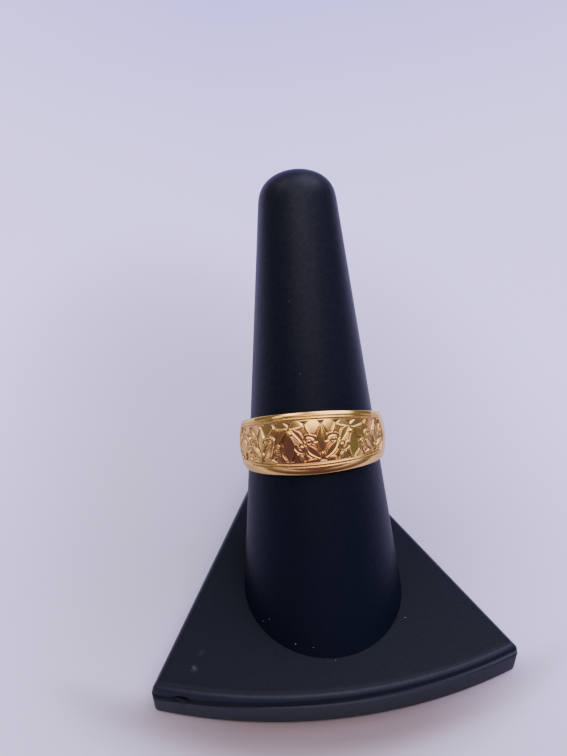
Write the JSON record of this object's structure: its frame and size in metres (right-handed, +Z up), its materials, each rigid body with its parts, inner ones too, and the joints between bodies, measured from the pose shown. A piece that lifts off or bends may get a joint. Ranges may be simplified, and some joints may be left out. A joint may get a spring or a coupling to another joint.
{
  "type": "gold ring on a ring display stand",
  "caption": "Tapered gold band with a raised frieze of leaves and curls between plain rims, resting on a leaning cone post that rises from a fan-shaped display plate.",
  "frame": {"origin": "on the plate's flat underside, straight below the point where the post's axis meets the plate's top", "axes": "+Z up from the surface that the stand rests on, -Y towards the plate's curved front, +Y the way the post leans back, +X to the right seen from the front"},
  "size_m": [0.0478, 0.0555, 0.0575],
  "materials": {
    "gold": "polished yellow gold, fine hairline wear",
    "black_plastic": "satin moulded black plastic"
  },
  "bodies": {
    "root": {"band": "gold", "display_stand": "black_plastic"}
  },
  "joints": []
}
